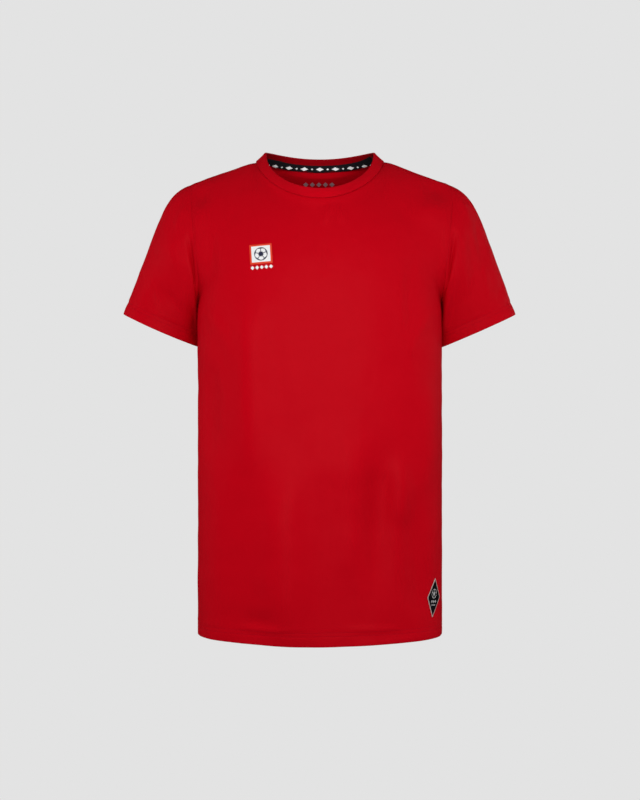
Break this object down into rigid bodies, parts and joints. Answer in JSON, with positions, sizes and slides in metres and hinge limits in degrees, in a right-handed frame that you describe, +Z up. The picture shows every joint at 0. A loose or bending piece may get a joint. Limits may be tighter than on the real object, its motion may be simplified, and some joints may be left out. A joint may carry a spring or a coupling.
{
  "type": "football jersey",
  "caption": "Short-sleeved football jersey with a crew neckband, set-in sleeves and open hem, filled out as if worn.",
  "frame": {"origin": "middle of the neck opening, level with the high points of the shoulders, where the wearer carries the jersey", "axes": "+Z up, -Y out of the chest, +X towards the wearer's left"},
  "size_m": [0.5812, 0.248, 0.7146],
  "materials": {
    "red_jersey_knit": "fine polyester knit with a slight sheen",
    "red_rib": "fine rib knit, a little brighter than the body",
    "black_tape": "flat woven tape with small white marks",
    "badge": "smooth heat-bonded badge, white with a coloured edge",
    "patch": "smooth heat-bonded patch, black with a grey edge"
  },
  "bodies": {
    "root": {"front": "red_jersey_knit", "back": "red_jersey_knit", "sleeve_left": "red_jersey_knit", "sleeve_right": "red_jersey_knit", "neckband": "red_rib", "neck_tape": "black_tape", "chest_badge": "badge", "hem_patch": "patch"}
  },
  "joints": []
}
